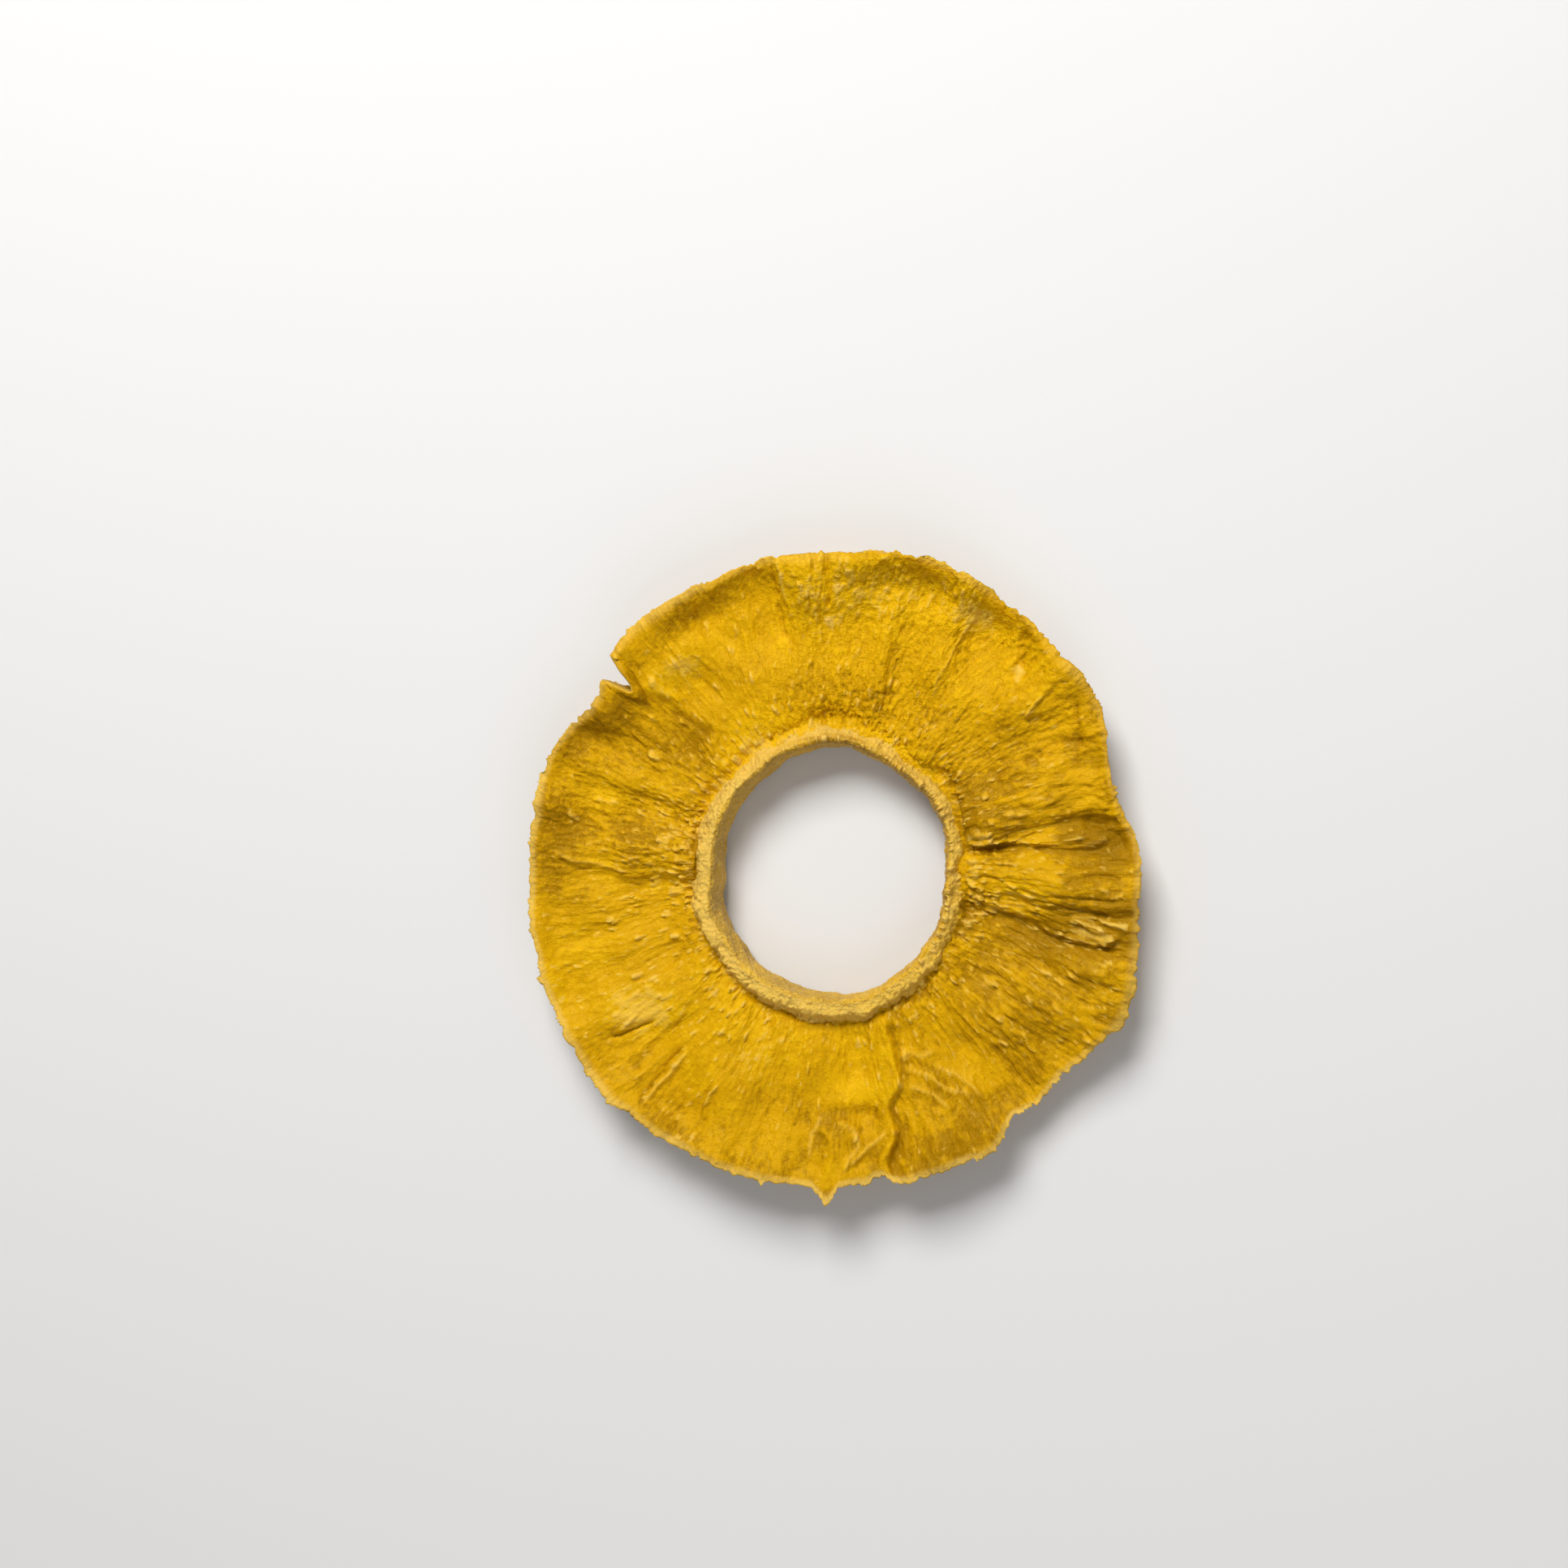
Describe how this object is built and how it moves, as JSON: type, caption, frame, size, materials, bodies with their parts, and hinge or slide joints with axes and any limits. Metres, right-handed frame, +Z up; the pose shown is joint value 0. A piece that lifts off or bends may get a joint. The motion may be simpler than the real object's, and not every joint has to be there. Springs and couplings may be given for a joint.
{
  "type": "dried pineapple ring",
  "caption": "Dried pineapple slice: a flat ring with a round cored hole, a pale collar round it, a thin fibrous web and a puckered outer wall.",
  "frame": {"origin": "on the surface the ring lies on, under the middle of its outline", "axes": "+Z up out of the shown face, along the hole's axis; +X and +Y in the ring's plane, with the torn V in the rim towards -X +Y"},
  "size_m": [0.079, 0.0816, 0.009],
  "materials": {
    "dried_flesh": null
  },
  "bodies": {
    "root": {"pineapple_ring": "dried_flesh"}
  },
  "joints": []
}
